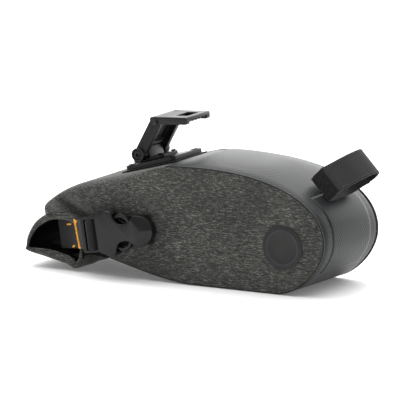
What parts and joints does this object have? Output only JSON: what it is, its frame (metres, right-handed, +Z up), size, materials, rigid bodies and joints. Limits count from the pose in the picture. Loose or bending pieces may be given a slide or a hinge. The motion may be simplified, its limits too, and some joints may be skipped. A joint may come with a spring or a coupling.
{
  "type": "saddle bag",
  "caption": "Teardrop saddle bag with heather side panels, coated gusset, rolled closure with side-release buckles, hinged saddle clip and seatpost strap.",
  "frame": {"origin": "middle of the bottom of the whole bag, on the floor", "axes": "+X towards the round rear (seatpost) end, +Y towards the far side, +Z up"},
  "size_m": [0.2322, 0.0966, 0.108],
  "materials": {
    "heather_fabric": "matte melange weave",
    "coated_fabric": "satin coated ripstop",
    "nylon_webbing": "woven, matte",
    "black_trim": "matte",
    "black_nylon_plastic": "soft sheen",
    "foam_board": "matte",
    "dark_steel": "black oxide"
  },
  "bodies": {
    "bag": {"side_panel_near": "heather_fabric", "side_panel_far": "heather_fabric", "deck_panel": "heather_fabric", "gusset_band": "coated_fabric", "seam_binding_near": "black_trim", "seam_binding_far": "black_trim", "side_stiffener_near": "foam_board", "side_stiffener_far": "foam_board", "floor_stiffener": "foam_board", "label_disc": "black_trim", "closure_collar": "heather_fabric", "strap_anchor": "coated_fabric", "strap_base": "nylon_webbing", "mount_patch": "black_trim", "mount_base": "black_nylon_plastic", "backing_plate": "black_nylon_plastic", "hinge_carriage": "black_nylon_plastic", "base_screw_front_near": "dark_steel", "base_screw_front_far": "dark_steel", "base_screw_rear_near": "dark_steel", "base_screw_rear_far": "dark_steel", "carriage_rivet_near": "dark_steel", "carriage_rivet_far": "dark_steel", "pivot_bush_near": "black_trim", "pivot_bush_far": "black_trim", "buckle_socket_near": "black_nylon_plastic", "socket_tab_near": "nylon_webbing", "buckle_socket_far": "black_nylon_plastic", "socket_tab_far": "nylon_webbing"},
    "clip": {"clip_bracket": "black_nylon_plastic", "corner_pin": "dark_steel", "latch_spring": "dark_steel", "pivot_bolt": "dark_steel", "pivot_nut": "dark_steel"},
    "latch": {"latch_lever": "black_nylon_plastic"},
    "closure": {"rolled_closure": "heather_fabric", "roll_stiffener": "foam_board", "web_tail_near": "nylon_webbing", "web_tail_far": "nylon_webbing", "web_loop_near": "nylon_webbing", "web_loop_far": "nylon_webbing", "buckle_plug_near": "black_nylon_plastic", "buckle_plug_far": "black_nylon_plastic"},
    "arm_near_upper": {"plug_arm_near_upper": "black_nylon_plastic"},
    "arm_near_lower": {"plug_arm_near_lower": "black_nylon_plastic"},
    "arm_far_upper": {"plug_arm_far_upper": "black_nylon_plastic"},
    "arm_far_lower": {"plug_arm_far_lower": "black_nylon_plastic"},
    "strap_flap": {"strap_flap": "nylon_webbing"}
  },
  "joints": [
    {"name": "clip_hinge", "type": "hinge", "parent": "bag", "child": "clip", "pos_m": [-0.04084, 0, 0.07986], "axis": [0, 1, 0], "range_deg": [-90, 20]},
    {"name": "latch_hinge", "type": "hinge", "parent": "clip", "child": "latch", "pos_m": [-0.02854, 0, 0.10276], "axis": [0, 1, 0], "range_deg": [0, 12], "stiffness_Nm_per_rad": 0.01, "springref_deg": -11.46},
    {"name": "closure_slide", "type": "slide", "parent": "bag", "child": "closure", "axis": [-0.9877, 0, -0.1564], "range_m": [0, 0.022]},
    {"name": "strap_hinge", "type": "hinge", "parent": "bag", "child": "strap_flap", "pos_m": [0.10768, 0.026, 0.07892], "axis": [-0.6947, 0, 0.7193], "range_deg": [0, 100]},
    {"name": "arm_near_upper_squeeze", "type": "hinge", "parent": "closure", "child": "arm_near_upper", "pos_m": [-0.05424, -0.044, 0.03656], "axis": [0, 1, 0], "range_deg": [0, 5], "stiffness_Nm_per_rad": 0.004, "springref_deg": -8.59},
    {"name": "arm_near_lower_squeeze", "type": "hinge", "parent": "closure", "child": "arm_near_lower", "pos_m": [-0.05205, -0.044, 0.02273], "axis": [0, -1, 0], "range_deg": [0, 5], "stiffness_Nm_per_rad": 0.004, "springref_deg": -8.59},
    {"name": "arm_far_upper_squeeze", "type": "hinge", "parent": "closure", "child": "arm_far_upper", "pos_m": [-0.05424, 0.044, 0.03656], "axis": [0, 1, 0], "range_deg": [0, 5], "stiffness_Nm_per_rad": 0.004, "springref_deg": -8.59},
    {"name": "arm_far_lower_squeeze", "type": "hinge", "parent": "closure", "child": "arm_far_lower", "pos_m": [-0.05205, 0.044, 0.02273], "axis": [0, -1, 0], "range_deg": [0, 5], "stiffness_Nm_per_rad": 0.004, "springref_deg": -8.59}
  ],
  "couplings": [
    {"joint": "arm_near_lower_squeeze", "follows": "arm_near_upper_squeeze", "ratio": 1},
    {"joint": "arm_far_lower_squeeze", "follows": "arm_far_upper_squeeze", "ratio": 1}
  ]
}
